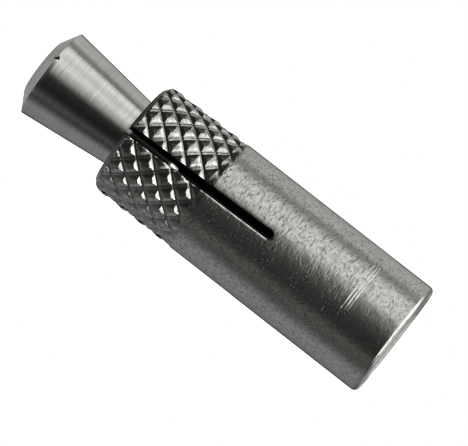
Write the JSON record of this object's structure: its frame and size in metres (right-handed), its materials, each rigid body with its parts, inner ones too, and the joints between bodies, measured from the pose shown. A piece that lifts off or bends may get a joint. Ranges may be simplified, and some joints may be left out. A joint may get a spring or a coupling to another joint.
{
  "type": "internally threaded wedge anchor",
  "caption": "Knurled, slotted steel sleeve with a female thread in its flat end and a tapered plug in its mouth that spreads the sleeve's fingers in a drilled hole.",
  "frame": {"origin": "centre of the flat face at the threaded end, on which the anchor stands", "axes": "+Z along the anchor's axis towards the plug; one pair of slots faces -Y and +Y, the other +X and -X"},
  "size_m": [0.012, 0.012, 0.0416],
  "materials": {
    "sleeve_steel": "bare stainless steel, satin, finely pitted, with short turning scratches",
    "plug_steel": "bare stainless steel, smooth turned satin"
  },
  "bodies": {
    "sleeve": {"sleeve": "sleeve_steel"},
    "plug": {"plug": "plug_steel"}
  },
  "joints": [
    {"name": "plug_drive", "type": "slide", "parent": "sleeve", "child": "plug", "axis": [0, 0, -1], "range_m": [0, 0.0104], "deforming": ["sleeve"]}
  ]
}
